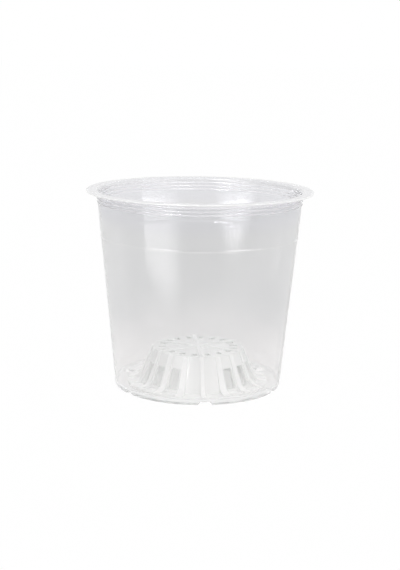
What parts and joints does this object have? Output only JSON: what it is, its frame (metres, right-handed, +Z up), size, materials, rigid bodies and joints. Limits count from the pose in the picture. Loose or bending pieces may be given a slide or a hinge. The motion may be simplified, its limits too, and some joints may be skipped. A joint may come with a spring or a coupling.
{
  "type": "orchid pot",
  "caption": "Clear tapered round pot for orchids with a flat rim, fine rings, drain notches in the base edge and a slotted aeration cone that lifts out of its floor.",
  "frame": {"origin": "centre of the foot ring, on the surface that the pot stands on", "axes": "+Z up along the pot's axis, -Y towards the front drain notch, +X to the right of it"},
  "size_m": [0.15, 0.15, 0.132],
  "materials": {
    "clear_plastic": "clear moulded polypropylene, glossy, faintly hazy",
    "milky_plastic": "translucent moulded polypropylene, satin"
  },
  "bodies": {
    "pot": {"pot": "clear_plastic"},
    "cone": {"aeration_cone": "milky_plastic"}
  },
  "joints": [
    {"name": "cone_lift", "type": "slide", "parent": "pot", "child": "cone", "axis": [0, 0, 1], "range_m": [0, 0.135]}
  ]
}
